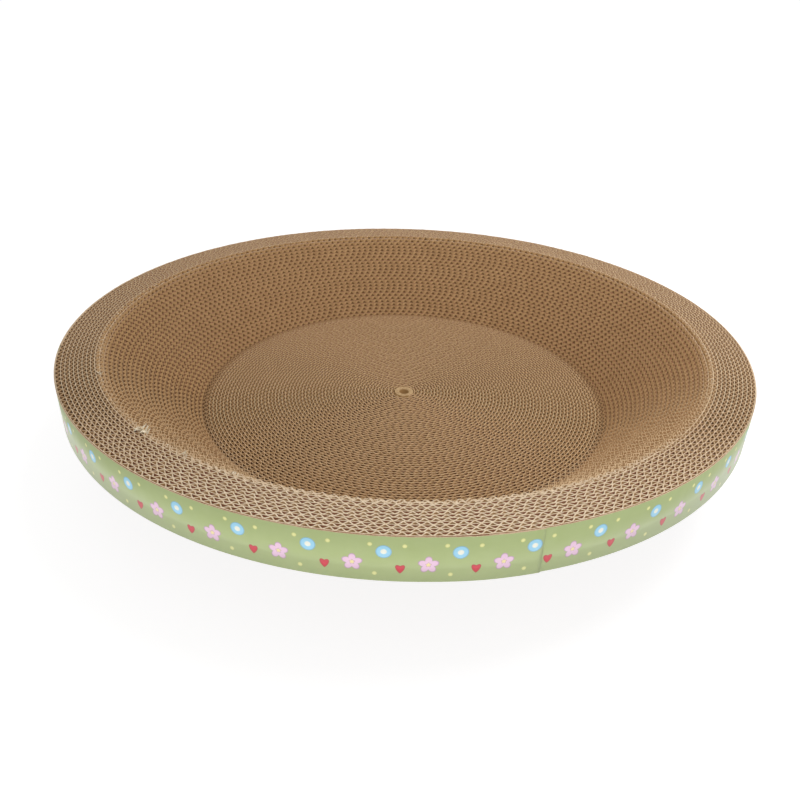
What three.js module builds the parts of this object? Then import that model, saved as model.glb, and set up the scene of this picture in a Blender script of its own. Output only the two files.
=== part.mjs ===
// A cat scratcher bed: strips of corrugated board wound on edge into one flat coil, which is pushed down
// in the middle to make a flat floor, a sloping wall and a flat rim, and wrapped in a printed paper band.
// Millimetres, +Z up. The origin lies under the middle of the floor, on the surface that the bed stands on.
import * as THREE from 'three';

// Driving dimensions of the bowl
const OUTER_DIAMETER = 520; // over the paper band
const RIM_WIDTH = 30; // flat rim, from the outside to the crest of the wall
const WALL_RUN = 67.5; // sloping wall, from its crest in to its foot, seen from above
const BOWL_DEPTH = 62; // rim above floor

// The board, standing on edge
const STRIP_HEIGHT = 30;
const PLY_PITCH = 2.75; // from one turn of the real board to the next
const PLIES_PER_LOOP = 4; // turns of the real board that one modelled loop stands for
const LOOP_GAP = 0.5; // glue line between loops
const BUTT_GAP = 0.4; // where one strip ends and the next begins
const END_THICKNESS = 0.8; // the last strip's end, pressed flat so that the outside stays round
const LEAST_STEP = 0.1; // between turns that lie level, in a strip that also climbs the wall

// Strips of one length, about 3.3 m of board each, wound end to end from the middle outwards
const FLOOR_STRIPS = 9;
const WALL_STRIPS = 9;
const RIM_STRIPS = 5;

// The paper roll that the winding starts on
const CORE_DIAMETER = 16;
const CORE_HOLE_DIAMETER = 8;

// The paper band
const BAND_THICKNESS = 0.5;
const BAND_INSET = 0.3; // from the strip's edges to the band's
const BAND_LAP = 30; // length by which the band's end lies over its start
const BAND_GAP = 0.3; // glue line under the band and in its lap
const BAND_END_ANGLE = THREE.MathUtils.degToRad(-75); // the lap's free edge, just right of the front

// Facets: the outer loops have twice as many as the inner ones, and share every second corner with them
const OUTER_FACETS = 48;
const FACETS_DOUBLE_AT = 86; // radius
const INNER_STEP = 2; // outer facets in the width of one inner facet

const FULL_TURN = 2 * Math.PI;
const facetAngle = FULL_TURN / OUTER_FACETS;
const loopPitch = PLY_PITCH * PLIES_PER_LOOP;
const crestRadius = OUTER_DIAMETER / 2 - RIM_WIDTH;
const floorRadius = crestRadius - WALL_RUN;
const bandInnerRadius = OUTER_DIAMETER / 2 - BAND_THICKNESS;
const coilOuterRadius = bandInnerRadius - BAND_GAP;
const coilInnerRadius = CORE_DIAMETER / 2 + LOOP_GAP;
const bandHeight = STRIP_HEIGHT - 2 * BAND_INSET;

// How far up the wall a radius lies, from 0 at its foot to 1 at its crest
function shareUpWall(radius) {
  return THREE.MathUtils.clamp((radius - floorRadius) / WALL_RUN, 0, 1);
}

// The spiral on which the loops' inner faces lie. It starts so far in that the first loop, which is held
// out by the core, grows from a single ply to its full width.
function spiralRadius(angle) {
  return coilInnerRadius + PLY_PITCH - loopPitch + (loopPitch * angle) / FULL_TURN;
}

function angleAt(radius) {
  return (FULL_TURN * (radius - spiralRadius(0))) / loopPitch;
}

function loopInnerRadius(angle) {
  return Math.max(coilInnerRadius, spiralRadius(angle));
}

function loopOuterRadius(angle) {
  return Math.min(coilOuterRadius, spiralRadius(angle) + loopPitch - LOOP_GAP);
}

function polar(radius, angle, height) {
  return new THREE.Vector3(radius * Math.cos(angle), radius * Math.sin(angle), height);
}

// A section is a row of treads, from its inner to its outer side: each has its radii and its foot and top
// heights. Its corners run along the feet, from the inner side outwards, and back along the tops.
function sectionCorners({ angle, treads }) {
  const feet = treads.flatMap(({ inner, outer, foot }) => [
    polar(inner, angle, foot),
    polar(outer, angle, foot),
  ]);
  const tops = treads.flatMap(({ inner, outer, top }) => [polar(inner, angle, top), polar(outer, angle, top)]);
  return [...feet, ...tops.reverse()];
}

// Triangles that close a section. Each tread is a fan from a corner on its outer side, and its neighbours'
// corners on its two sides take part, because the treads differ in height.
function capTriangles(treadCount) {
  const top = (column) => 4 * treadCount - 1 - column;
  const triangles = [];
  for (let t = 0; t < treadCount; t++) {
    const [inner, outer] = [2 * t, 2 * t + 1];
    const isFirst = t === 0;
    const isLast = t === treadCount - 1;
    const pivot = isLast ? outer : outer + 1;
    const before = isFirst ? [] : [top(inner - 1)];
    const foot = isLast ? [] : [outer];
    const rim = [top(outer), top(inner), ...before, inner, ...foot];
    for (let k = 0; k < rim.length - 1; k++) {
      triangles.push([pivot, rim[k], rim[k + 1]]);
    }
  }
  return triangles;
}

// A closed body through a row of sections, which run anticlockwise, seen from above
function loft(sections) {
  const treadCount = sections[0].treads.length;
  const ring = 4 * treadCount;
  const faces = [];
  for (let s = 0; s < sections.length - 1; s++) {
    for (let k = 0; k < ring; k++) {
      const here = s * ring + k;
      const beside = s * ring + ((k + 1) % ring);
      faces.push(here, here + ring, beside + ring);
      faces.push(here, beside + ring, beside);
    }
  }
  const last = (sections.length - 1) * ring;
  for (const [a, b, c] of capTriangles(treadCount)) {
    faces.push(a, b, c);
    faces.push(last + a, last + c, last + b);
  }
  const geometry = new THREE.BufferGeometry().setFromPoints(sections.flatMap(sectionCorners));
  geometry.setIndex(faces);
  geometry.computeVertexNormals();
  return geometry;
}

// The treads of a loop. Where the strip climbs the wall there is one for each turn of the real board, which
// stands level and is slid down past its neighbour, as in a telescope. Elsewhere the whole loop is one.
function loopTreads(inner, outer, climbs) {
  const count = climbs ? PLIES_PER_LOOP : 1;
  const climb = BOWL_DEPTH - (count - 1) * LEAST_STEP;
  return Array.from({ length: count }, (_, ply) => {
    const radius = inner + ply * PLY_PITCH;
    const foot = climb * shareUpWall(radius) + ply * LEAST_STEP;
    const isLast = ply === count - 1;
    return { inner: radius, outer: isLast ? outer : radius + PLY_PITCH, foot, top: foot + STRIP_HEIGHT };
  });
}

// The angles of a strip's sections: every facet corner between its ends, which are drawn in by half the gap
function sectionAngles(first, last) {
  const trim = (facet) => BUTT_GAP / 2 / loopInnerRadius(facet * facetAngle);
  const step = (facet) => (facet * facetAngle < angleAt(FACETS_DOUBLE_AT) ? INNER_STEP : 1);
  const angles = [first * facetAngle + trim(first)];
  for (let facet = first + step(first); facet < last; facet += step(facet)) {
    angles.push(facet * facetAngle);
  }
  angles.push(last * facetAngle - trim(last));
  return angles;
}

// Outer and inner edges of all loops, kept to measure how close the coil comes to itself
const edges = [];

function stripGeometry(first, last) {
  const angles = sectionAngles(first, last);
  const climbs = loopInnerRadius(angles[0]) < crestRadius && loopOuterRadius(angles.at(-1)) > floorRadius;
  const sections = angles.map((angle) => {
    const inner = loopInnerRadius(angle);
    const outer = loopOuterRadius(angle);
    edges.push({ angle, inner: polar(inner, angle, 0), outer: polar(outer, angle, 0) });
    return { angle, treads: loopTreads(inner, outer, climbs) };
  });
  return loft(sections);
}

// The facet corners at which a zone's strips begin and end. A length of the spiral covers the same area
// wherever it lies, so strips of one length end at radii whose squares are evenly spaced.
function stripEnds(fromAngle, toAngle, count) {
  const middleRadius = (angle) => spiralRadius(angle) + loopPitch / 2;
  const from = middleRadius(fromAngle) ** 2;
  const to = middleRadius(toAngle) ** 2;
  const ends = [];
  for (let i = 0; i <= count; i++) {
    const radius = Math.sqrt(THREE.MathUtils.lerp(from, to, i / count));
    const angle = angleAt(radius - loopPitch / 2);
    ends.push(INNER_STEP * Math.round(angle / (INNER_STEP * facetAngle)));
  }
  return ends;
}

function paperMaterial(color, roughness) {
  return new THREE.MeshStandardMaterial({ color, roughness, metalness: 0, flatShading: true });
}

function boardMaterial() {
  return paperMaterial(0xa98458, 0.95);
}

function addStrips(coil, zone, ends) {
  for (let i = 0; i < ends.length - 1; i++) {
    const strip = new THREE.Mesh(stripGeometry(ends[i], ends[i + 1]), boardMaterial());
    strip.name = `${zone}_strip_${String(i + 1).padStart(2, '0')}`;
    coil.add(strip);
  }
}

function makeCoil() {
  const coil = new THREE.Group();
  const floorEnd = angleAt(floorRadius - loopPitch / 2);
  const wallEnd = angleAt(crestRadius - loopPitch / 2);
  const rimEnd = angleAt(coilOuterRadius - END_THICKNESS);
  addStrips(coil, 'floor', stripEnds(0, floorEnd, FLOOR_STRIPS));
  addStrips(coil, 'wall', stripEnds(floorEnd, wallEnd, WALL_STRIPS));
  addStrips(coil, 'rim', stripEnds(wallEnd, rimEnd, RIM_STRIPS));
  return coil;
}

function makeCore() {
  const hole = CORE_HOLE_DIAMETER / 2;
  const outside = CORE_DIAMETER / 2;
  const profile = [
    new THREE.Vector2(hole, 0),
    new THREE.Vector2(outside, 0),
    new THREE.Vector2(outside, STRIP_HEIGHT),
    new THREE.Vector2(hole, STRIP_HEIGHT),
    new THREE.Vector2(hole, 0),
  ];
  const core = new THREE.Mesh(new THREE.LatheGeometry(profile, OUTER_FACETS / 2), boardMaterial());
  core.name = 'core_roll';
  core.rotation.x = Math.PI / 2;
  return core;
}

// The band goes once round the rim, steps out over its own start and ends on top of it
function makeBand() {
  const lapAngle = BAND_LAP / bandInnerRadius;
  const start = BAND_END_ANGLE - lapAngle;
  const lapStart = start + FULL_TURN;
  const end = lapStart + lapAngle;
  const corners = [start];
  for (let facet = Math.floor(start / facetAngle) + 1; facet * facetAngle < end; facet++) {
    const corner = facet * facetAngle;
    if (corners.at(-1) < lapStart && corner > lapStart) {
      corners.push(lapStart);
    }
    corners.push(corner);
  }
  corners.push(end);
  const foot = BOWL_DEPTH + BAND_INSET;
  const sections = corners.map((angle) => {
    const intoFacet = THREE.MathUtils.euclideanModulo(angle, facetAngle) - facetAngle / 2;
    const onChord = Math.cos(facetAngle / 2) / Math.cos(intoFacet);
    const step = angle < lapStart ? 0 : BAND_THICKNESS + BAND_GAP;
    const [inner, outer] = [0, BAND_THICKNESS].map((out) => (bandInnerRadius + step + out) * onChord);
    return { angle, treads: [{ inner, outer, foot, top: foot + bandHeight }] };
  });
  const band = new THREE.Mesh(loft(sections), paperMaterial(0xa3b27a, 0.5));
  band.name = 'wrap_band';
  return band;
}

// Least distance from the outer edge of a loop to the inner edge of what is wound over it
function leastLoopGap() {
  let least = Infinity;
  for (const under of edges) {
    for (const over of edges) {
      if (over.angle - under.angle > FULL_TURN / 2) {
        least = Math.min(least, under.outer.distanceTo(over.inner));
      }
    }
  }
  return least;
}

const bed = new THREE.Group();
bed.name = 'cat_scratcher_bed';
bed.add(makeCore(), makeCoil(), makeBand());
console.log(`least gap between the coil's loops: ${leastLoopGap().toFixed(2)} mm`);

export default bed;
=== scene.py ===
# %% [markdown]
# # A cat scratcher bed, wound from corrugated board
# The real bed is a long strip of corrugated board that stands on edge and is wound into a flat coil. The
# coil is pushed down in the middle, so that it has a flat floor, a sloping wall and a flat rim, and a
# printed paper band is glued round its outside.
# The frame that is loaded first holds the bed's plain solids at their real size and place, in metres. The
# pieces below are made in the same frame and take the solids' places, so nothing has to be fitted
# afterwards.

# %% Load the frame
import math
import random

import bmesh
import bpy
from mathutils import Matrix, Vector, noise


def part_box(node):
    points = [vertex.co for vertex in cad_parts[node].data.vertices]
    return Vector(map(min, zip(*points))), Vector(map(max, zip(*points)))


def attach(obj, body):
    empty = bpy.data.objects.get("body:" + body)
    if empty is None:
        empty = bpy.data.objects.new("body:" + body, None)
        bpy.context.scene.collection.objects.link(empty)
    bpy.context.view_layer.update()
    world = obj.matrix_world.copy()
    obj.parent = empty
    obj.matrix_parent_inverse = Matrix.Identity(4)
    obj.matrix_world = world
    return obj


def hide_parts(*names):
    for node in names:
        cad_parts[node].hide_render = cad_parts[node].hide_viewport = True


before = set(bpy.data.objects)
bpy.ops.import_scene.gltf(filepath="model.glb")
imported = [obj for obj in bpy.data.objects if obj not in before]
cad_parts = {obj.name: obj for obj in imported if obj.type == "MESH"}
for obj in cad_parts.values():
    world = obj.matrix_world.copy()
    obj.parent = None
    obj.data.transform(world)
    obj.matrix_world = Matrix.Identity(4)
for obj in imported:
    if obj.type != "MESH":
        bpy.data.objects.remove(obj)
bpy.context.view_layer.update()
MM = 0.001
TURN = 2 * math.pi
print("solids in the frame:", len(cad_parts))

# %% [markdown]
# ## Sizes
# A few solids give the sizes that the rest hangs on. The core roll is as tall as the board's strip is wide,
# the band gives the outside, and the underside of the rim gives the depth of the bowl. The widths of the
# rim and of the wall, as seen from above, aren't the size of any one solid, so they are written here.

# %% Sizes of the bowl
core_low, core_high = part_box("core_roll")
band_low, band_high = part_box("wrap_band")
rim_low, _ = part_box("rim_strip_05")
STRIP_HEIGHT = core_high.z - core_low.z
CORE_RADIUS = core_high.x
OUTER_RADIUS = band_high.x
BOWL_DEPTH = rim_low.z
RIM_WIDTH = 30 * MM
WALL_RUN = 67.5 * MM
CREST_RADIUS = OUTER_RADIUS - RIM_WIDTH
FLOOR_RADIUS = CREST_RADIUS - WALL_RUN
print(f"bowl {BOWL_DEPTH / MM:.1f} mm deep")
print(f"foot of the wall {FLOOR_RADIUS / MM:.1f} mm and crest {CREST_RADIUS / MM:.1f} mm from the middle")

# %% [markdown]
# ## Camera
# The bed is seen from the front and a little above, from close by, so that its near side looks much larger
# than its far side. A real lens of this width does that by itself: the camera is put where the photographer
# stood, and tilted down. It was held a little askew, which is the roll about its own line of sight.

# %% Camera
LENS = 33.1  # millimetres
SENSOR_WIDTH = 36.0  # millimetres
CAMERA_BACK = 542 * MM
CAMERA_HEIGHT = 330 * MM
CAMERA_TILT = math.radians(29.65)
CAMERA_TURN = math.radians(0.33)
CAMERA_ROLL = math.radians(1.785)

camera = bpy.data.objects.new("camera", bpy.data.cameras.new("camera"))
bpy.context.scene.collection.objects.link(camera)
camera.data.lens = LENS
camera.data.sensor_width = SENSOR_WIDTH
camera.matrix_world = (
    Matrix.Translation((0, -CAMERA_BACK, CAMERA_HEIGHT))
    @ Matrix.Rotation(CAMERA_TURN, 4, "Z")
    @ Matrix.Rotation(math.pi / 2 - CAMERA_TILT, 4, "X")
    @ Matrix.Rotation(CAMERA_ROLL, 4, "Z")
)
bpy.context.scene.camera = camera
bpy.context.scene.view_settings.view_transform = "Standard"
print("camera at", [round(c, 3) for c in camera.matrix_world.translation])

# %% [markdown]
# ## Helpers for materials
# Colours are written as sRGB hex values, as a paint program shows them. A shader works in linear light, so
# one function turns the one into the other. A second function adds a node: it sets the node's properties
# and fills each of its inputs, by a link where it is given another node's output and by a plain value
# otherwise.
# A Mix node has sockets for several kinds of value. Those for colours are reached by number, so the numbers
# get names here.

# %% Colour and node helpers
SHARE, FIRST, SECOND = 0, 6, 7  # inputs of a Mix node
MIXED = 2  # its output


def linear(hex_colour):
    """An sRGB hex colour as linear red, green, blue and alpha."""
    channels = [int(hex_colour[i:i + 2], 16) / 255 for i in (1, 3, 5)]
    return [c / 12.92 if c <= 0.04045 else ((c + 0.055) / 1.055) ** 2.4 for c in channels] + [1.0]


def add_node(tree, kind, inputs=None, **settings):
    """Adds a node to a material's tree, with its settings, values and links."""
    made = tree.nodes.new(kind)
    for name, value in settings.items():
        setattr(made, name, value)
    for key, value in (inputs or {}).items():
        if isinstance(value, bpy.types.NodeSocket):
            tree.links.new(value, made.inputs[key])
        else:
            made.inputs[key].default_value = value
    return made


def new_material(name):
    """A material with its node tree and its main shader."""
    material = bpy.data.materials.new(name)
    material.use_nodes = True
    return material, material.node_tree, material.node_tree.nodes["Principled BSDF"]


print("white is", linear("#ffffff"))

# %% [markdown]
# ## The floor
# The bed stands on a plain white floor. To the camera the floor adds white of its own, so that it reads as
# white and still takes a soft shadow. That part is only for rays that come straight from the camera or by
# way of a reflection, and so it lights nothing. Under the floor of the bed it is left out, so that no white
# shines up through the cells of the board there.

# %% The floor
FLOOR_HALF_WIDTH = 40.0
FLOOR_OWN_WHITE = 0.87
FLOOR_BLEND = 30 * MM  # its own white comes in over this width, outside the bed's floor


def seen_directly(tree):
    """1 for a ray from the camera, a mirror or clear glass, and 0 for one that carries light to the bed."""
    path = add_node(tree, "ShaderNodeLightPath").outputs
    either = add_node(
        tree, "ShaderNodeMath", {0: path["Is Camera Ray"], 1: path["Is Glossy Ray"]}, operation="MAXIMUM"
    )
    return add_node(
        tree, "ShaderNodeMath", {0: either.outputs[0], 1: path["Is Transmission Ray"]}, operation="MAXIMUM"
    ).outputs[0]


def floor_paper():
    """White paper sweep: matt. What the camera sees of it is mostly its own white, and the rest is lit."""
    material, tree, shader = new_material("white_paper_floor")
    tree.nodes.remove(shader)
    seen = seen_directly(tree)
    paper = add_node(tree, "ShaderNodeBsdfDiffuse", {"Color": linear("#ededed")})
    shaded = add_node(tree, "ShaderNodeBsdfDiffuse", {"Color": linear("#a0a0a0")})
    place = add_node(tree, "ShaderNodeTexCoord").outputs["Object"]
    away = add_node(tree, "ShaderNodeVectorMath", {0: place}, operation="LENGTH").outputs["Value"]
    blend = {"From Min": FLOOR_RADIUS, "From Max": FLOOR_RADIUS + FLOOR_BLEND, "To Max": FLOOR_OWN_WHITE}
    white = add_node(tree, "ShaderNodeMapRange", {"Value": away, **blend}).outputs[0]
    glow = add_node(tree, "ShaderNodeEmission", {"Color": linear("#ffffff"), "Strength": white})
    shown = add_node(tree, "ShaderNodeAddShader", {0: shaded.outputs[0], 1: glow.outputs[0]})
    chosen = add_node(tree, "ShaderNodeMixShader", {0: seen, 1: paper.outputs[0], 2: shown.outputs[0]})
    tree.links.new(chosen.outputs[0], tree.nodes["Material Output"].inputs["Surface"])
    return material


floor_mesh = bmesh.new()
bmesh.ops.create_grid(floor_mesh, x_segments=1, y_segments=1, size=FLOOR_HALF_WIDTH)
floor = bpy.data.objects.new("floor", bpy.data.meshes.new("floor"))
floor_mesh.to_mesh(floor.data)
floor_mesh.free()
bpy.context.scene.collection.objects.link(floor)
floor.data.materials.append(floor_paper())
print(f"floor: {2 * FLOOR_HALF_WIDTH:.0f} m wide")

# %% [markdown]
# ## The light
# The room is white and adds even light from all sides, which hardly reaches into the cells of the board and
# leaves them dark. A large soft lamp hangs close above the bed, a little to the right, so its light falls
# off across the bed and the left side is darker. Together they light a level white card in the middle of
# the bed to about 1, so that a colour shows about as it is written. The upright band would get only half of
# that, so a low lamp stands in front, as a photographer puts a white card there. It is no taller than the
# rim, so none of its light falls into the bowl.
# The lamp's power comes from the light that is wanted. A flat lamp sends 1 / pi of its power straight ahead
# into each unit of solid angle, and a white card looks like 1 when each square metre of it gets pi watts.

# %% The light
ROOM_LIGHT = 0.4
LAMP_LIGHT = 0.58
LAMP_PLACE = Vector((0.3, 0.05, 0.75))
LAMP_WIDTH = 0.6
CARD_PLACE = Vector((-0.3, -1.3, 0.03))
CARD_WIDTH, CARD_HEIGHT = 1.8, 0.05
CARD_POWER = 9.0  # watts

world = bpy.data.worlds.new("white_room")
world.use_nodes = True
bpy.context.scene.world = world
backdrop = world.node_tree.nodes["Background"]
room_light = add_node(
    world.node_tree,
    "ShaderNodeMapRange",
    {"Value": seen_directly(world.node_tree), "To Min": ROOM_LIGHT, "To Max": 1.0},
)
world.node_tree.links.new(room_light.outputs[0], backdrop.inputs["Strength"])
backdrop.inputs["Color"].default_value = linear("#ffffff")

lamp = bpy.data.objects.new("soft_lamp", bpy.data.lights.new("soft_lamp", "AREA"))
lamp.data.shape = "DISK"
lamp.data.size = LAMP_WIDTH
above = LAMP_PLACE - Vector((0, 0, STRIP_HEIGHT))
lamp.data.energy = LAMP_LIGHT * math.pi ** 2 * above.length_squared / above.normalized().z
lamp.location = LAMP_PLACE
lamp.rotation_euler = above.to_track_quat("Z", "Y").to_euler()
lamp.visible_camera = False
bpy.context.scene.collection.objects.link(lamp)

card = bpy.data.objects.new("low_card", bpy.data.lights.new("low_card", "AREA"))
card.data.shape = "RECTANGLE"
card.data.size = CARD_WIDTH
card.data.size_y = CARD_HEIGHT
card.data.energy = CARD_POWER
card.location = CARD_PLACE
card.rotation_euler = (math.pi / 2, 0, 0)
card.visible_camera = False
card.visible_glossy = False
bpy.context.scene.collection.objects.link(card)
print(f"a level card is lit to {ROOM_LIGHT + LAMP_LIGHT:.2f}, and the lamp has {lamp.data.energy:.1f} W")

# %% [markdown]
# ## Lit paper and painted shade
# Corrugated board is two papers. The liner is the flat one, and the medium is the one that was pressed into
# waves. Close to a cut edge, where light reaches it, the paper shows its own colour. Deeper in the board its
# colour turns into a painted shade, for the narrow cells, where little light gets in. Every strip that is
# made below carries two attributes for that, which a node can read: "top" is 0 at its foot and 1 at its
# top, and "bare" is the share of its height that is out in the light.

# %% Lit paper and painted shade
# Below the bare part, the paper's colour turns into a painted shade for the dark cells, over this depth.
SHADE_DEPTH = 1.0 * MM  # over which pale paper turns raw


def painted_depth_shade(tree):
    """Share of painted shade: 0 out in the light, 1 deep in the board, counted from the nearer cut edge."""
    top = add_node(tree, "ShaderNodeAttribute", attribute_name="top").outputs["Fac"]
    bare = add_node(tree, "ShaderNodeAttribute", attribute_name="bare").outputs["Fac"]
    middle = add_node(tree, "ShaderNodeMath", {0: top, 1: 0.5}, operation="SUBTRACT").outputs[0]
    away = add_node(tree, "ShaderNodeMath", {0: middle}, operation="ABSOLUTE").outputs[0]
    depth = add_node(tree, "ShaderNodeMath", {0: 0.5, 1: away}, operation="SUBTRACT").outputs[0]
    below = add_node(tree, "ShaderNodeMath", {0: depth, 1: bare}, operation="SUBTRACT").outputs[0]
    return add_node(
        tree, "ShaderNodeMapRange", {"Value": below, "From Max": SHADE_DEPTH / STRIP_HEIGHT}
    ).outputs[0]


# Below what is bare, paper turns into the painted shade of the cells.
print(f"below what is bare, paper turns raw over {SHADE_DEPTH / MM:.1f} mm")

# %% [markdown]
# ## Kraft paper
# Both papers of the board are brown kraft: matt, with faint clouds where the fibres lie thicker, and with
# single fibres that show as flecks. A cloud is about 12 mm across and a fleck under 1 mm. The patterns read
# Object coordinates, which are the bed's own metres, so a scale is one over a real size.
# The painted shade deep in the board differs between the two sides of a paper, for cell walls that catch
# some light and those in deeper shade, so the strips carry a third attribute: "skin" is 0 on the inner and
# 1 on the outer side.

# %% Kraft paper
CLOUD_SIZE = 12 * MM
FLECK_SIZE = 0.9 * MM
FLECK_NOISE = (0.52, 0.75)  # where a fleck starts in the noise, and where it is full
FLECK_STRENGTH = 0.6
FLECK_BUMP = 0.3
FLECK_HEIGHT = 0.1 * MM


def kraft_paper(name, dark, pale, fleck, shade_inside, shade_outside):
    """Brown kraft of unbleached pulp: matt, cloudy, flecked, and with a painted shade deep in the board."""
    material, tree, shader = new_material(name)
    place = add_node(tree, "ShaderNodeTexCoord").outputs["Object"]
    clouds = add_node(tree, "ShaderNodeTexNoise", {"Vector": place, "Scale": 1 / CLOUD_SIZE, "Detail": 3.0})
    flecks = add_node(tree, "ShaderNodeTexNoise", {"Vector": place, "Scale": 1 / FLECK_SIZE, "Detail": 2.0})
    ground = add_node(
        tree,
        "ShaderNodeMix",
        {SHARE: clouds.outputs["Fac"], FIRST: linear(dark), SECOND: linear(pale)},
        data_type="RGBA",
    )
    start, full = FLECK_NOISE
    flecked = add_node(
        tree,
        "ShaderNodeMapRange",
        {"Value": flecks.outputs["Fac"], "From Min": start, "From Max": full, "To Max": FLECK_STRENGTH},
    )
    colour = add_node(
        tree,
        "ShaderNodeMix",
        {SHARE: flecked.outputs[0], FIRST: ground.outputs[MIXED], SECOND: linear(fleck)},
        data_type="RGBA",
    )
    skin = add_node(tree, "ShaderNodeAttribute", attribute_name="skin").outputs["Fac"]
    painted_shade = add_node(
        tree,
        "ShaderNodeMix",
        {SHARE: skin, FIRST: linear(shade_inside), SECOND: linear(shade_outside)},
        data_type="RGBA",
    )
    shown = add_node(
        tree,
        "ShaderNodeMix",
        {SHARE: painted_depth_shade(tree), FIRST: colour.outputs[MIXED], SECOND: painted_shade.outputs[MIXED]},
        data_type="RGBA",
    )
    tree.links.new(shown.outputs[MIXED], shader.inputs["Base Color"])
    shader.inputs["Roughness"].default_value = 0.85
    shader.inputs["Specular IOR Level"].default_value = 0.25
    bump = add_node(
        tree,
        "ShaderNodeBump",
        {"Height": flecks.outputs["Fac"], "Strength": FLECK_BUMP, "Distance": FLECK_HEIGHT},
    )
    tree.links.new(bump.outputs[0], shader.inputs["Normal"])
    return material


# The last two colours are the painted shade deep in the board, on a paper's inner and outer side.
liner_paper = kraft_paper("kraft_liner", "#96684a", "#aa7a5c", "#7a533a", "#5c3f29", "#452c1b")
medium_paper = kraft_paper("kraft_medium", "#ab855a", "#c29c6e", "#8d6b43", "#725234", "#94704c")
print("papers:", liner_paper.name, medium_paper.name)

# %% [markdown]
# ## Cut edges
# Where the saw cut the board, the fibres stand out as a pale fuzz, so a cut edge is a finish of its own,
# paler than the paper and with some sheen. The floor, the wall and the rim each have their own two shades,
# and so have the front of the wall and of the rim, where they are paler as painted light, for the front
# that catches more light. The shades change softly, over a few millimetres at the foot and at the crest of
# the wall, and over a longer way towards the front.

# %% Cut edges
FUZZ_SIZE = 1.4 * MM
FUZZ_NOISE = (0.3, 0.7)  # where the pale fuzz starts in the noise, and where it is full
ZONE_BLEND = 5 * MM
FRONT_WALL = (0.1, 0.6)  # where the front starts and where it is full, as shares of the radius
FRONT_RIM = (0.55, 0.95)


def beyond(tree, place, radius):
    """0 inside a circle round the bed's middle line and 1 outside it, with a soft change."""
    across = add_node(tree, "ShaderNodeVectorMath", {0: place, 1: (1, 1, 0)}, operation="MULTIPLY")
    away = add_node(tree, "ShaderNodeVectorMath", {0: across.outputs[0]}, operation="LENGTH")
    return add_node(
        tree,
        "ShaderNodeMapRange",
        {"Value": away.outputs["Value"], "From Min": radius - ZONE_BLEND, "From Max": radius},
    ).outputs[0]


def cut_edge(name, floor, wall, rim, front_wall, front_rim):
    """Slit edge of kraft board: darker on the wall, pale fuzz on floor and rim, painted light at the front.
    """
    material, tree, shader = new_material(name)
    place = add_node(tree, "ShaderNodeTexCoord").outputs["Object"]
    fuzz = add_node(tree, "ShaderNodeTexNoise", {"Vector": place, "Scale": 1 / FUZZ_SIZE, "Detail": 3.0})
    fuzzy = add_node(
        tree,
        "ShaderNodeMapRange",
        {"Value": fuzz.outputs["Fac"], "From Min": FUZZ_NOISE[0], "From Max": FUZZ_NOISE[1]},
    ).outputs[0]
    shades = [
        add_node(
            tree,
            "ShaderNodeMix",
            {SHARE: fuzzy, FIRST: linear(dark), SECOND: linear(pale)},
            data_type="RGBA",
        ).outputs[MIXED]
        for dark, pale in (floor, wall, rim, front_wall, front_rim)
    ]
    y = add_node(tree, "ShaderNodeSeparateXYZ", {0: place}).outputs["Y"]
    colour = shades[0]
    for radius, rest, front, (start, full) in (
        (FLOOR_RADIUS, shades[1], shades[3], FRONT_WALL),
        (CREST_RADIUS, shades[2], shades[4], FRONT_RIM),
    ):
        # The paler front shades are painted light: the front of the bed catches more light.
        painted_front_light = add_node(
            tree,
            "ShaderNodeMapRange",
            {"Value": y, "From Min": -start * OUTER_RADIUS, "From Max": -full * OUTER_RADIUS},
        ).outputs[0]
        shade = add_node(
            tree, "ShaderNodeMix", {SHARE: painted_front_light, FIRST: rest, SECOND: front}, data_type="RGBA"
        ).outputs[MIXED]
        zone = beyond(tree, place, radius)
        colour = add_node(
            tree, "ShaderNodeMix", {SHARE: zone, FIRST: colour, SECOND: shade}, data_type="RGBA"
        ).outputs[MIXED]
    tree.links.new(colour, shader.inputs["Base Color"])
    shader.inputs["Roughness"].default_value = 0.95
    shader.inputs["Specular IOR Level"].default_value = 0.2
    shader.inputs["Sheen Weight"].default_value = 0.15
    shader.inputs["Sheen Roughness"].default_value = 0.6
    return material


print(f"fuzz: {FUZZ_SIZE / MM:.1f} mm across, and its shades change over {ZONE_BLEND / MM:.0f} mm")

# %% [markdown]
# ## The edges of the two papers
# The liner's edge is paler than the medium's, which draws the fine rings on the floor and on the rim. On
# the wall both are darker, and towards the front both are paler, as painted light for the front of the
# bed, which catches more light.

# %% The edges of the two papers
liner_edge = cut_edge(
    "slit_liner_edge",
    floor=("#cca97b", "#eed2a7"),
    wall=("#9a764d", "#b28d60"),
    rim=("#cfb08a", "#f0d9b5"),
    front_wall=("#cfae85", "#e6caa2"),
    front_rim=("#dcc09c", "#fbe8cb"),
)
medium_edge = cut_edge(
    "slit_medium_edge",
    floor=("#a27d52", "#c19b6c"),
    wall=("#9a764d", "#b28d60"),
    rim=("#b08f69", "#cfb089"),
    front_wall=("#cfae85", "#e6caa2"),
    front_rim=("#dcc09c", "#fbe8cb"),
)
print("cut edges:", liner_edge.name, medium_edge.name)

# %% [markdown]
# ## The coil's line
# The whole coil follows one spiral, which moves out by one thickness of board with each turn. Its start is
# pressed flat against the core, and its end is pressed flat against the band, so that both stay round. Past
# the two ends the board springs back, so its waves fill the room to the core and to the band.
# The waves of the board are counted along the spiral, from its start. That one count gives the arcs of
# waves that show on the wall, where each turn is a little longer than the one inside it.

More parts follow.
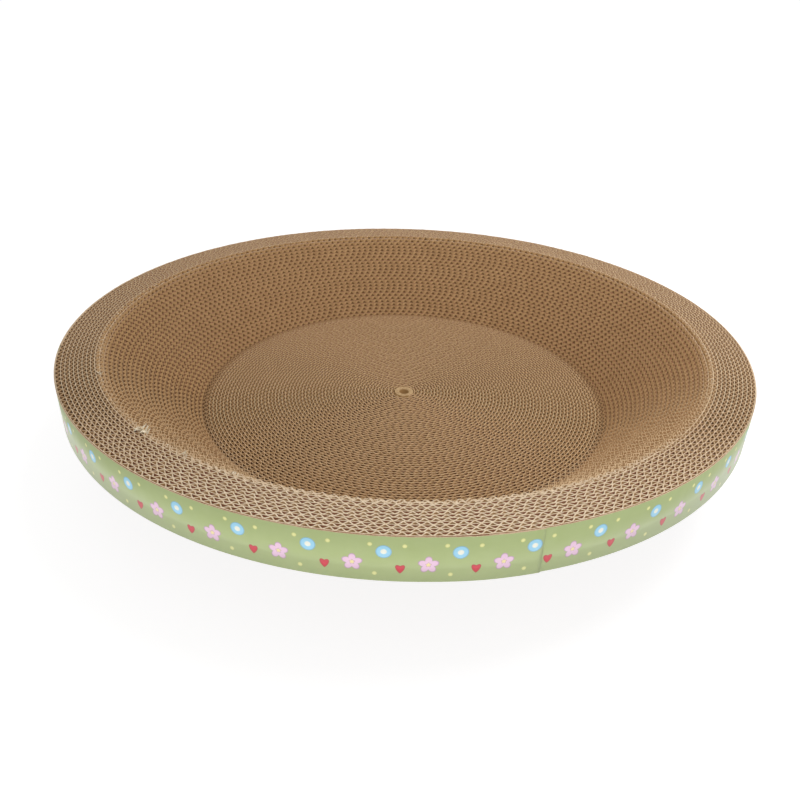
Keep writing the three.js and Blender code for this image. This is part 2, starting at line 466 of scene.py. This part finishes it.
# %% The coil's line
BOARD = 2.75 * MM  # from one turn to the next
FLUTE = 6.12 * MM  # from one wave to the next
LINER = 0.25 * MM
MEDIUM = 0.32 * MM
SLIT = 0.05 * MM  # glue line
CORE_GAP = 0.3 * MM
BAND_THICKNESS = 0.5 * MM
BAND_GAP = 0.2 * MM
COIL_RADIUS = OUTER_RADIUS - BAND_THICKNESS - BAND_GAP
PRESSED = LINER + MEDIUM + 4 * SLIT  # thickness of the board where it is pressed flat
CORE_FACE = CORE_RADIUS + CORE_GAP
FIRST_RADIUS = CORE_FACE - BOARD / 2
START_SPRING = math.radians(40)  # in which the board springs back past the coil's start
END_SPRING = math.radians(4)
COIL_TURN = math.radians(-164)  # brings the coil's outer end to the left


def share_between(value, start, full):
    """0 up to a start, 1 from a full value on, and an even rise between the two."""
    return min(max((value - start) / (full - start), 0.0), 1.0)


def angle_at_radius(radius):
    """How far round the spiral the middle of the board reaches this radius."""
    return TURN * (radius - FIRST_RADIUS) / BOARD


def run_at(angle):
    """Length of board wound up to this angle."""
    return FIRST_RADIUS * angle + BOARD * angle ** 2 / (2 * TURN)


def angle_at(run):
    """The angle at which this length of board has been wound."""
    rate = BOARD / TURN
    return (math.sqrt(FIRST_RADIUS ** 2 + 2 * rate * run) - FIRST_RADIUS) / rate


START_ANGLE = angle_at_radius(CORE_FACE + PRESSED - BOARD / 2)
END_ANGLE = angle_at_radius(COIL_RADIUS - PRESSED + BOARD / 2)
COIL_START = run_at(START_ANGLE)
COIL_END = run_at(END_ANGLE)


def free_face(angle):
    """Radius of a turn's inner face, as it is where nothing presses the board flat."""
    return FIRST_RADIUS + BOARD * (angle / TURN - 0.5)


def board_faces(angle):
    """Radii of the board's inner and outer face. The first turn lies on the core, the last on the band."""
    free = free_face(angle)
    on_core = 1 - share_between(angle, START_ANGLE + TURN - START_SPRING, START_ANGLE + TURN)
    on_band = share_between(angle, END_ANGLE - TURN, END_ANGLE - TURN + END_SPRING)
    inner = (1 - on_core) * free + on_core * CORE_FACE
    outer = (1 - on_band) * (free + BOARD) + on_band * COIL_RADIUS
    return inner, outer


print(f"board in the coil: {COIL_END - COIL_START:.1f} m, {(COIL_END - COIL_START) / FLUTE:.0f} waves")

# %% [markdown]
# ## Heights
# Each turn stands level and is slid down past its neighbour, as in a telescope, so its height depends only
# on its radius. So on the wall each turn stands bare by its step over the turn inside it, while on the
# floor and on the rim the turns cover each other. At the front the rim is open to the room, so light
# reaches into its cells.

# %% Heights
# At the front of the rim light reaches this far into the cells, so the painted shade starts lower there.
FRONT_LIT = 2.0 * MM


def lift(radius):
    """Height of the coil's underside at a radius."""
    return BOWL_DEPTH * share_between(radius, FLOOR_RADIUS, CREST_RADIUS)


def front_share(point):
    """0 at the sides and the back of the bed, and 1 at its front."""
    return share_between(-point.y / OUTER_RADIUS, *FRONT_RIM)


def bare_height(point, angle):
    """How much of a turn's side is out in the light at a point of it."""
    radius = free_face(angle)
    step = lift(radius) - lift(radius - BOARD)
    lit = FRONT_LIT * front_share(point) if radius > CREST_RADIUS else 0.0
    return max(step, lit)


def on_coil(radius, angle):
    """A point at the foot of the board. A turn is as high as the bowl is at the turn's inner face."""
    around = angle + COIL_TURN
    return Vector((radius * math.cos(around), radius * math.sin(around), lift(free_face(angle))))


print(f"each turn of the wall stands {BOWL_DEPTH / MM * BOARD / WALL_RUN:.2f} mm above the one inside it")

# %% [markdown]
# ## The two papers' lines
# Seen from above, the liner is a plain spiral on the outer side of each turn, and the medium swings between
# it and the liner of the turn inside. Real waves aren't quite even: the noise shifts and squeezes some of
# them. Both lines lie on their paper's inner face, because the thickness is added outwards later.
# The hollows between the waves are narrow, so on the wall the painted shade reaches further up in them than
# on the waves' crests.

# %% The papers' lines
LINER_STEPS = 2  # points along one wave
WAVE_STEPS = 8
WAVE_SHIFT = 0.7  # radians
WAVE_SQUEEZE = 0.25
WAVE_CHANGE = 17 * MM  # length over which the waves change
HOLLOW_SWING = (-0.1875, 0.4375)  # where a hollow starts, and where it is full
HOLLOW_BARE = 0.3  # of a crest's bare height


def liner_point(run):
    """A point of the liner's line, this far along the board."""
    angle = angle_at(run)
    _, outer = board_faces(angle)
    return on_coil(outer - SLIT - LINER, angle)


def liner_bare(run):
    """Share of the bare height that catches light: the liner is flat, so all of it."""
    return 1.0


def medium_swing(run):
    """Where the medium is, from -0.5 at the turn inside it to 0.5 at its own liner."""
    shift = WAVE_SHIFT * noise.noise((run / WAVE_CHANGE, 0.3, 0.7))
    squeeze = 1 - WAVE_SQUEEZE * abs(noise.noise((run / WAVE_CHANGE, 5.1, 2.9)))
    return 0.5 * math.cos(TURN * run / FLUTE + shift) * squeeze


def medium_point(run):
    """A point of the medium's line, this far along the board."""
    angle = angle_at(run)
    inner, outer = board_faces(angle)
    low, high = inner + SLIT, outer - 2 * SLIT - LINER - MEDIUM
    return on_coil((low + high) / 2 + (high - low) * medium_swing(run), angle)


def medium_bare(run):
    """Share of the bare height that catches light: all of it on a crest, little of it in a hollow."""
    hollow = share_between(medium_swing(run), *HOLLOW_SWING)
    return 1 - (1 - HOLLOW_BARE) * hollow


print(f"a wave is {FLUTE / MM:.2f} mm long and up to {(BOARD - 3 * SLIT - LINER - MEDIUM) / MM:.2f} mm deep")

# %% [markdown]
# ## Ragged edges
# The saw leaves the top of the board uneven and spreads its fibres into a soft burr. Along the crest of the
# wall, where the board was rubbed as the coil was pushed in, both are larger. The strips below move their
# top points up or down by a little noise, and sideways by the width of the burr.

# %% Ragged edges
RAGGED = 0.2 * MM
RAGGED_SIZE = 1.1 * MM
WALL_BURR = 0.02 * MM
FLAT_BURR = 0.12 * MM
FRONT_BURR = 0.1 * MM
CREST_RAGGED = 0.8 * MM
CREST_BURR = 0.24 * MM
CREST_REACH = 3.0 * MM


def rubbed(point):
    """1 on the crest of the wall, falling to 0 a few millimetres away from it."""
    away = (math.hypot(point.x, point.y) - CREST_RADIUS) / CREST_REACH
    return math.exp(-away * away)


def burr_at(point):
    """Width of the burr on each side of a cut edge."""
    radius = math.hypot(point.x, point.y)
    crest = CREST_BURR * rubbed(point)
    if radius < FLOOR_RADIUS:
        return FLAT_BURR
    if radius < CREST_RADIUS:
        return WALL_BURR + crest
    return FLAT_BURR + FRONT_BURR * front_share(point) + crest


print(f"burr: {FLAT_BURR / MM:.2f} mm on the floor, {(FLAT_BURR + CREST_BURR) / MM:.2f} mm on the crest")

# %% [markdown]
# ## A standing strip of paper
# A strip of paper on edge is an easy shape for an extrusion: a chain of points and edges on the ground is
# extruded straight up, which makes a wall with no thickness, and solidify then gives it its thickness. The
# chain runs anticlockwise, so the wall faces the middle of the bed, and the thickness is added on the
# outside.
# Four numbers stay on every point: how far along the board it is, whether it is at the foot or at the top,
# on which side of the paper it is, and how much of the strip is bare there.

# %% A standing strip of paper
PAPER_NUMBERS = ("run", "top", "skin", "bare")


def new_paper():
    """An empty mesh whose points can carry the four numbers."""
    bm = bmesh.new()
    for layer in PAPER_NUMBERS:
        bm.verts.layers.float.new(layer)
    return bm


def stand_paper(bm, points, runs, bares, height, thickness, burr=1.0):
    """Raises a chain of points into a strip of paper, and returns the new faces."""
    run_layer, top_layer, skin_layer, bare_layer = bm.verts.layers.float.values()
    faces_before = len(bm.faces)
    chain = [bm.verts.new(point) for point in points]
    for vert, run, bare in zip(chain, runs, bares):
        vert[run_layer] = run
        vert[bare_layer] = bare / height
    edges = [bm.edges.new(pair) for pair in zip(chain, chain[1:])]
    raised = bmesh.ops.extrude_edge_only(bm, edges=edges)["geom"]
    tops = [part for part in raised if isinstance(part, bmesh.types.BMVert)]
    walls = [part for part in raised if isinstance(part, bmesh.types.BMFace)]
    for vert in tops:
        vert[top_layer] = 1.0
        uneven = RAGGED + CREST_RAGGED * rubbed(vert.co)
        vert.co.z += height + uneven * noise.noise(vert.co / RAGGED_SIZE)
    bm.normal_update()
    thick = bmesh.ops.solidify(bm, geom=walls, thickness=thickness)["geom"]
    inner_verts = set(chain) | set(tops)
    outer_verts = {part for part in thick if isinstance(part, bmesh.types.BMVert)} - inner_verts
    bm.normal_update()
    for vert in outer_verts:
        vert[skin_layer] = 1.0
    for vert in [vert for vert in inner_verts | outer_verts if vert[top_layer]]:
        level = Vector((vert.normal.x, vert.normal.y, 0)).normalized()
        vert.co += level * burr * burr_at(vert.co)
    bm.faces.ensure_lookup_table()
    return bm.faces[faces_before:]


def finish_piece(name, bm, materials):
    """Puts a bmesh into the scene as a new object at the origin."""
    mesh = bpy.data.meshes.new(name)
    bm.to_mesh(mesh)
    bm.free()
    for material in materials:
        mesh.materials.append(material)
    piece = bpy.data.objects.new(name, mesh)
    bpy.context.scene.collection.objects.link(piece)
    return piece


print("numbers on every point:", ", ".join(PAPER_NUMBERS))

# %% [markdown]
# ## A flat layout for baking
# Colours that are made by nodes can be baked into a picture, and then each face needs a place of its own on
# it. A strip of paper unrolls into four long lanes: its inner side, its outer side, its top edge and its
# foot. The lanes are cut into rows that are stacked in a square. A thin edge gets a lane some millimetres
# wide, so that it is more than a line there, and the two small end faces stand at the end of a lane.

# %% A flat layout for baking
EDGE_LANE = 5 * MM
LANE_GAP = 2 * MM
ROW_MARGIN = 4 * MM
END_WIDTH = 4 * MM
INNER, OUTER, TOP, FOOT, END = range(5)


def lane_of(face, top_layer, skin_layer):
    """Which side of a strip of paper a face belongs to."""
    tops = sum(vert[top_layer] for vert in face.verts)
    skins = sum(vert[skin_layer] for vert in face.verts)
    corners = len(face.verts)
    if tops in (0, corners):
        return TOP if tops else FOOT
    if skins in (0, corners):
        return OUTER if skins else INNER
    return END


def add_bake_map(bm, height):
    """Lays a piece's papers out on a square. Each paper has two materials, for its sides and its edges."""
    run_layer, top_layer, skin_layer = (bm.verts.layers.float[layer] for layer in ("run", "top", "skin"))
    bake_map = bm.loops.layers.uv.new("OFBake")
    start = min(vert[run_layer] for vert in bm.verts)
    length = max(vert[run_layer] for vert in bm.verts) - start
    papers = 1 + max(face.material_index for face in bm.faces) // 2
    lanes = {INNER: 0.0, OUTER: height + LANE_GAP, TOP: 2 * (height + LANE_GAP)}
    lanes[FOOT] = lanes[TOP] + EDGE_LANE + LANE_GAP
    paper_height = lanes[FOOT] + EDGE_LANE + LANE_GAP
    rows = max(1, round(math.sqrt(length / (papers * paper_height))))
    row_length = length / rows
    square = (row_length + 2 * ROW_MARGIN + END_WIDTH, rows * papers * paper_height)
    for face in bm.faces:
        lane = lane_of(face, top_layer, skin_layer)
        middle = sum(vert[run_layer] for vert in face.verts) / len(face.verts) - start
        row = min(int(middle / row_length), rows - 1)
        low = (row * papers + face.material_index // 2) * paper_height
        low += lanes[lane] if lane != END else lanes[INNER if middle < length / 2 else OUTER]
        for corner in face.loops:
            run, top, skin = (corner.vert[layer] for layer in (run_layer, top_layer, skin_layer))
            along = run - start - row * row_length + ROW_MARGIN
            if lane == END:
                along = row_length + 2 * ROW_MARGIN + skin * (END_WIDTH - LANE_GAP)
            up = skin * EDGE_LANE if lane in (TOP, FOOT) else top * height
            corner[bake_map].uv = (along / square[0], (low + up) / square[1])


print("lanes per strip of paper:", END)

# %% [markdown]
# ## One strip of board
# A strip of board is one piece with two papers in it. Each paper stands on its own line, and its points lie
# on one count along the whole coil, so the waves go on from strip to strip. The broad faces get the paper,
# smooth-shaded, and the narrow ones the cut edge.

# %% One strip of board
BUTT_GAP = 0.4 * MM
LINER_BURR = 0.7  # of the medium's


def even_runs(start, end, step):
    """Places along the board, a step apart on one count for the whole coil, with both ends."""
    first = math.floor(start / step) + 1
    last = math.ceil(end / step) - 1
    return [start] + [k * step for k in range(first, last + 1)] + [end]


def paper_faces(faces, side_slot, edge_slot, top_layer):
    """Gives the broad faces their paper and the narrow ones the cut edge."""
    for face in faces:
        tops = sum(vert[top_layer] for vert in face.verts)
        cut = tops in (0, len(face.verts))
        face.material_index = edge_slot if cut else side_slot
        face.smooth = not cut


def board_strip(name, start, end):
    """One strip of board, from one place along the coil to another."""
    bm = new_paper()
    top_layer = bm.verts.layers.float["top"]
    for slots, line, share, steps, thickness, burr in (
        ((0, 1), liner_point, liner_bare, LINER_STEPS, LINER, LINER_BURR),
        ((2, 3), medium_point, medium_bare, WAVE_STEPS, MEDIUM, 1.0),
    ):
        runs = even_runs(start + BUTT_GAP / 2, end - BUTT_GAP / 2, FLUTE / steps)
        points = [line(run) for run in runs]
        bares = [bare_height(point, angle_at(run)) * share(run) for point, run in zip(points, runs)]
        faces = stand_paper(bm, points, runs, bares, STRIP_HEIGHT, thickness, burr)
        paper_faces(faces, *slots, top_layer)
    add_bake_map(bm, STRIP_HEIGHT)
    return finish_piece(name, bm, [liner_paper, liner_edge, medium_paper, medium_edge])


print("points on a wave:", WAVE_STEPS, "in the medium and", LINER_STEPS, "in the liner")

# %% [markdown]
# ## The coil of strips
# The coil is wound from strips of about one length, nine in the floor, nine in the wall and five in the
# rim, which meet end to end. Each strip takes the place of the plain solid of the same number.

# %% The coil of strips
ZONES = {"floor": (9, FLOOR_RADIUS), "wall": (9, CREST_RADIUS), "rim": (5, None)}  # strips, outer radius

zone_start = COIL_START
for zone, (count, zone_radius) in ZONES.items():
    zone_end = run_at(angle_at_radius(zone_radius)) if zone_radius else COIL_END
    for number in range(count):
        ends = [zone_start + (zone_end - zone_start) * k / count for k in (number, number + 1)]
        strip = board_strip(f"{zone}_board_{number + 1:02d}", *ends)
        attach(strip, "root")
        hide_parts(f"{zone}_strip_{number + 1:02d}")
    print(f"{zone}: {count} strips of {(zone_end - zone_start) / count:.2f} m")
    zone_start = zone_end

# %% [markdown]
# ## A torn flake
# Where the coil was pushed in, the edge of the crest was rubbed, and little flakes of paper stand out of
# it. A flake is a small grid that is bent into a curl and narrows to its tip, and solidify gives it its
# thickness.

# %% A torn flake
FLAKE_STEPS = 3
FLAKE_TAPER = 0.6
FLAKE_THICKNESS = 0.12 * MM


def torn_flake(bm, root, length, width, lean, curl):
    """Adds one flake: it leans away from the middle by an angle, and curls further towards its tip."""
    outward = Vector((root.x, root.y, 0)).normalized()
    sideways = Vector((-outward.y, outward.x, 0))
    grid = bmesh.ops.create_grid(bm, x_segments=1, y_segments=FLAKE_STEPS, size=0.5)["verts"]
    for vert in grid:
        along = vert.co.y + 0.5
        bend = lean + curl * along
        rise = Vector((0, 0, math.cos(bend))) + outward * math.sin(bend)
        vert.co = root + sideways * vert.co.x * width * (1 - FLAKE_TAPER * along) + rise * length * along
    bm.normal_update()
    bm.faces.ensure_lookup_table()
    bmesh.ops.solidify(bm, geom=bm.faces[-FLAKE_STEPS:], thickness=FLAKE_THICKNESS)


print(f"a flake is {FLAKE_THICKNESS / MM:.2f} mm thick and bends in {FLAKE_STEPS} steps")

# %% [markdown]
# ## Torn fibres on the crest
# Most flakes are hardly a millimetre long, and in four places they make a tuft. Chance, from a fixed seed,
# sets each one's place, size, lean and curl, so the crest comes out the same each time. Torn fibres are the
# palest paper on the bed, and have the same shades all round.

# %% Torn fibres on the crest
TUFTS = ((227.7, 20, 4.6), (237.7, 8, 2.6), (246.2, 8, 2.6), (206.0, 7, 2.8))  # degrees, flakes, mm long
TUFT_SPREAD = 2.0 * MM
LOOSE_FLAKES = 170
LOOSE_LENGTH = 1.3  # mm
FLAKE_SEED = 5
FLAKE_ASIDE = (0.2, 1.8)  # mm outside the crest
FLAKE_SUNK = 0.3 * MM
FLAKE_WIDTH = 0.5  # of its length, at its root
LENGTH_RANGE = (0.5, 1.0)  # of the length written above
WIDTH_RANGE = (0.7, 1.3)
LEAN_RANGE = (0.6, 1.3)  # radians
CURL_RANGE = (-0.6, 0.6)
TORN_SHADES = ("#ecdab8", "#fff5e0")


def plain_edge(name, shades):
    """A torn or cut edge that has the same two shades all over the bed."""
    return cut_edge(name, shades, shades, shades, shades, shades)


def crest_point(around, aside):
    """A point on the cut edge of the turn that makes the crest, in a direction from the middle."""
    first = around - COIL_TURN
    turns = round((angle_at_radius(CREST_RADIUS + BOARD / 2) - first) / TURN)
    foot = on_coil(CREST_RADIUS + aside, first + turns * TURN)
    return foot + Vector((0, 0, STRIP_HEIGHT))


def crest_fibres(material):
    """All the flakes as one piece: loose ones all round the crest, and the tufts."""
    bm = bmesh.new()
    chance = random.Random(FLAKE_SEED)
    places = [(chance.uniform(0, TURN), LOOSE_LENGTH) for _ in range(LOOSE_FLAKES)]
    for degrees, count, length in TUFTS:
        spread = TUFT_SPREAD / CREST_RADIUS
        places += [(chance.gauss(math.radians(degrees), spread), length) for _ in range(count)]
    for around, length in places:
        root = crest_point(around, chance.uniform(*FLAKE_ASIDE) * MM) - Vector((0, 0, FLAKE_SUNK))
        size = length * MM * chance.uniform(*LENGTH_RANGE)
        lean = chance.choice((-1, 1)) * chance.uniform(*LEAN_RANGE)
        curl = chance.uniform(*CURL_RANGE)
        torn_flake(bm, root, size, FLAKE_WIDTH * size * chance.uniform(*WIDTH_RANGE), lean, curl)
    bmesh.ops.recalc_face_normals(bm, faces=bm.faces)
    return finish_piece("crest_fibres", bm, [material])


fibres = crest_fibres(plain_edge("torn_kraft", TORN_SHADES))
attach(fibres, "root")
print("flakes on the crest:", len(fibres.data.polygons), "faces")

# %% [markdown]
# ## The core roll
# In the middle the winding starts on a small tight roll of plain paper. It is the same kind of strip on
# edge, wound so tightly that its turns touch, so it is made by the same extrusion along a small spiral. For
# the baking layout each turn counts as long as the outermost one.

# %% The core roll
CORE_HOLE_RADIUS = 4.0 * MM
CORE_PAPER = 0.5 * MM
CORE_PITCH = 0.54 * MM
CORE_STEPS = 28  # points in one turn
ROLL_SHADES = ("#a88659", "#d0b083")


def core_roll(materials):
    """The wound paper, from the hole outwards."""
    bm = new_paper()
    turns = (CORE_RADIUS - CORE_PAPER - CORE_HOLE_RADIUS) / CORE_PITCH
    angles = [TURN * k / CORE_STEPS for k in range(round(turns * CORE_STEPS) + 1)]
    radii = [CORE_HOLE_RADIUS + CORE_PITCH * angle / TURN for angle in angles]
    points = [Vector((r * math.cos(a), r * math.sin(a), 0)) for r, a in zip(radii, angles)]
    runs = [CORE_RADIUS * angle for angle in angles]
    bares = [0.0] * len(points)
    faces = stand_paper(bm, points, runs, bares, STRIP_HEIGHT, CORE_PAPER)
    paper_faces(faces, 0, 1, bm.verts.layers.float["top"])
    add_bake_map(bm, STRIP_HEIGHT)
    return finish_piece("core_paper_roll", bm, materials)


# Its last two colours are the painted shade deep in the roll, the same on both sides.
core_paper = kraft_paper("core_kraft", "#a8835a", "#be996e", "#8d6c46", "#9e7a4c", "#9e7a4c")
roll = core_roll([core_paper, plain_edge("rolled_kraft_edge", ROLL_SHADES)])
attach(roll, "root")
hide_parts("core_roll")
print("core roll:", len(roll.data.polygons), "faces")

# %% [markdown]
# ## Motifs by formula
# The band is printed with small motifs, each 3 to 12 mm across. A picture could be pasted on, but drawing
# the motifs by nodes keeps them sharp at any size. The piece's own UV map counts millimetres along the band
# and up it, and every motif is a formula in those millimetres: its reach is 0 in its middle and 1 on its
# outline.

# %% Motifs by formula
PETALS = 5
PETAL_DEPTH = 0.42  # of a blossom's size
HEART_SLOPE = 0.75


def round_reach(tree, dx, dy, size):
    """Distance from the middle, as a share of a round motif's size."""
    across = add_node(tree, "ShaderNodeCombineXYZ", {0: dx, 1: dy})
    away = add_node(tree, "ShaderNodeVectorMath", {0: across.outputs[0]}, operation="LENGTH")
    return add_node(
        tree, "ShaderNodeMath", {0: away.outputs["Value"], 1: size}, operation="DIVIDE"
    ).outputs[0]


def blossom_reach(tree, dx, dy, size):
    """A round reach whose outline swells into petals."""
    turn = add_node(tree, "ShaderNodeMath", {0: dx, 1: dy}, operation="ARCTAN2").outputs[0]
    halves = add_node(tree, "ShaderNodeMath", {0: turn, 1: PETALS / 2}, operation="MULTIPLY").outputs[0]
    wave = add_node(tree, "ShaderNodeMath", {0: halves}, operation="COSINE").outputs[0]
    swell = add_node(tree, "ShaderNodeMath", {0: wave}, operation="ABSOLUTE").outputs[0]
    outline = add_node(
        tree,
        "ShaderNodeMath",
        {0: swell, 1: PETAL_DEPTH * size, 2: (1 - PETAL_DEPTH) * size},
        operation="MULTIPLY_ADD",
    ).outputs[0]
    return round_reach(tree, dx, dy, outline)


def heart_reach(tree, dx, dy, size):
    """A round reach that is pulled up beside the middle line, which makes a heart."""
    side = add_node(tree, "ShaderNodeMath", {0: dx}, operation="ABSOLUTE").outputs[0]
    slope = add_node(
        tree, "ShaderNodeMath", {0: side, 1: -HEART_SLOPE, 2: dy}, operation="MULTIPLY_ADD"
    ).outputs[0]
    return round_reach(tree, dx, slope, size)


print("petals of a blossom:", PETALS)

# %% [markdown]
# ## The motifs of the print
# Blossoms, rings, hearts and dots are plain ornaments, in the pastel colours of such a print. Each has its
# formula, its size, its places in one repeat of the print, and its colours from the middle to the outline.

# %% The motifs of the print
BLOSSOM_COLOURS = (
    (0.0, "#f3e3a1"),
    (0.2, "#f3e3a1"),
    (0.26, "#c79db9"),
    (0.34, "#ecc9e0"),
    (0.84, "#e9c4dd"),
    (0.97, "#b592ab"),
)
RING_COLOURS = ((0.0, "#f3f3e4"), (0.34, "#f3f3e4"), (0.44, "#a5d9f2"), (0.84, "#9fd4ef"), (0.97, "#7fb0cc"))
HEART_COLOURS = ((0.0, "#d8384a"), (0.8, "#cb2a3c"), (1.0, "#a32334"))
DOT_COLOURS = ((0.0, "#ecebaa"), (0.7, "#e0df98"), (1.0, "#c6c982"))
MOTIFS = (  # reach, size and places in millimetres, colours
    (blossom_reach, 5.6, [(9.0, 11.5)], BLOSSOM_COLOURS),
    (round_reach, 4.1, [(25.0, 19.5)], RING_COLOURS),
    (heart_reach, 2.5, [(33.5, 8.0)], HEART_COLOURS),
    (round_reach, 1.3, [(18.0, 24.0), (20.5, 5.0), (35.5, 23.5)], DOT_COLOURS),
)
print("motifs in one repeat:", sum(len(places) for _, _, places, _ in MOTIFS))

# %% [markdown]
# ## The printed paper
# The band is coated paper, printed in flat colours on a sage green ground, and the print repeats a whole
# number of times round it, every 39 mm. A colour ramp turns a motif's reach into a filled shape with a rim,
# and a mask with a soft edge lays it over the colours so far.

# %% The printed paper
BAND_RADIUS = OUTER_RADIUS - BAND_THICKNESS
PRINT_REPEATS = 42
PRINT_REPEAT = TURN * BAND_RADIUS / PRINT_REPEATS
TINT_SIZE = 14  # mm
EDGE_BLUR = 0.04  # of a motif's size


def lay_motif(tree, ground, reach, stops):
    """Lays a motif over the colours so far. The stops are its colours from the middle to the outline."""
    fill = add_node(tree, "ShaderNodeValToRGB", {0: reach})
    while len(fill.color_ramp.elements) < len(stops):
        fill.color_ramp.elements.new(0.5)
    for element, (place, colour) in zip(fill.color_ramp.elements, stops):
        element.position = place
        element.color = linear(colour)
    edge = {"From Min": 1 - EDGE_BLUR, "From Max": 1 + EDGE_BLUR, "To Min": 1.0, "To Max": 0.0}
    mask = add_node(tree, "ShaderNodeMapRange", {"Value": reach, **edge})
    return add_node(
        tree,
        "ShaderNodeMix",
        {SHARE: mask.outputs[0], FIRST: ground, SECOND: fill.outputs[0]},
        data_type="RGBA",
    ).outputs[MIXED]


def printed_ground(tree):
    """Sage green, a little uneven as a printed tint is, and the millimetres along and up the band."""
    place = add_node(tree, "ShaderNodeUVMap", uv_map="print").outputs[0]
    along, up, _ = add_node(tree, "ShaderNodeSeparateXYZ", {0: place}).outputs
    repeat = add_node(
        tree, "ShaderNodeMath", {0: along, 1: PRINT_REPEAT / MM}, operation="MODULO"
    ).outputs[0]
    tint = add_node(tree, "ShaderNodeTexNoise", {"Vector": place, "Scale": 1 / TINT_SIZE, "Detail": 3.0})
    ground = add_node(
        tree,
        "ShaderNodeMix",
        {SHARE: tint.outputs["Fac"], FIRST: linear("#a6b477"), SECOND: linear("#b0bd86")},
        data_type="RGBA",
    ).outputs[MIXED]
    return ground, repeat, up


def printed_paper():
    """Coated paper, printed and rolled smooth: flat colours under a satin shine."""
    material, tree, shader = new_material("printed_coated_paper")
    colour, x, y = printed_ground(tree)
    for reach_of, size, places, stops in MOTIFS:
        for place in places:
            dx = add_node(tree, "ShaderNodeMath", {0: x, 1: place[0]}, operation="SUBTRACT").outputs[0]
            dy = add_node(tree, "ShaderNodeMath", {0: y, 1: place[1]}, operation="SUBTRACT").outputs[0]
            colour = lay_motif(tree, colour, reach_of(tree, dx, dy, size), stops)
    tree.links.new(colour, shader.inputs["Base Color"])
    shader.inputs["Roughness"].default_value = 0.38
    shader.inputs["Coat Weight"].default_value = 0.4
    shader.inputs["Coat Roughness"].default_value = 0.3
    return material


band_print = printed_paper()
print(f"print repeats every {PRINT_REPEAT / MM:.1f} mm, {len(band_print.node_tree.nodes)} nodes")

# %% [markdown]
# ## The paper band
# The band goes once round the rim, and its end laps over its start, just right of the front. It is a strip
# of paper on edge once more. Its line is a circle that steps out over its own start.

# %% The paper band
BAND_LAP = 30 * MM
BAND_END = math.radians(-73.4)
BAND_STEP = 2.5 * MM
BAND_LENGTH = TURN * BAND_RADIUS + BAND_LAP
BAND_HEIGHT = band_high.z - band_low.z
LAP_RAMP = 30 * MM
LAP_GAP = 0.03 * MM
SHEET_SHADES = ("#c9ab8c", "#e4c9a8")


def band_point(run):
    """A point at the band's foot, this far along it."""
    lap_start = BAND_LENGTH - BAND_LAP
    over = share_between(run, lap_start - LAP_RAMP, lap_start)
    radius = BAND_RADIUS + over * (BAND_THICKNESS + LAP_GAP)
    angle = BAND_END + (run - BAND_LENGTH) / BAND_RADIUS
    return Vector((radius * math.cos(angle), radius * math.sin(angle), band_low.z))


def paper_band(materials):
    """The band, with the millimetres along and up it as a UV map for the print."""
    bm = new_paper()
    run_layer, top_layer = (bm.verts.layers.float[layer] for layer in ("run", "top"))
    count = round(BAND_LENGTH / BAND_STEP)
    runs = [BAND_LENGTH * k / count for k in range(count + 1)]
    points = [band_point(run) for run in runs]
    bares = [0.0] * len(points)
    faces = stand_paper(bm, points, runs, bares, BAND_HEIGHT, BAND_THICKNESS, burr=0.0)
    paper_faces(faces, 0, 1, top_layer)
    print_map = bm.loops.layers.uv.new("print")
    for face in bm.faces:
        for corner in face.loops:
            up = BAND_HEIGHT if corner.vert[top_layer] else 0.0
            corner[print_map].uv = (corner.vert[run_layer] / MM, up / MM)
    add_bake_map(bm, BAND_HEIGHT)
    return finish_piece("printed_band", bm, materials)


band = paper_band([band_print, plain_edge("coated_paper_edge", SHEET_SHADES)])
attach(band, "root")
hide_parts("wrap_band")
print(f"band: {BAND_LENGTH:.3f} m long, {BAND_HEIGHT / MM:.1f} mm tall")
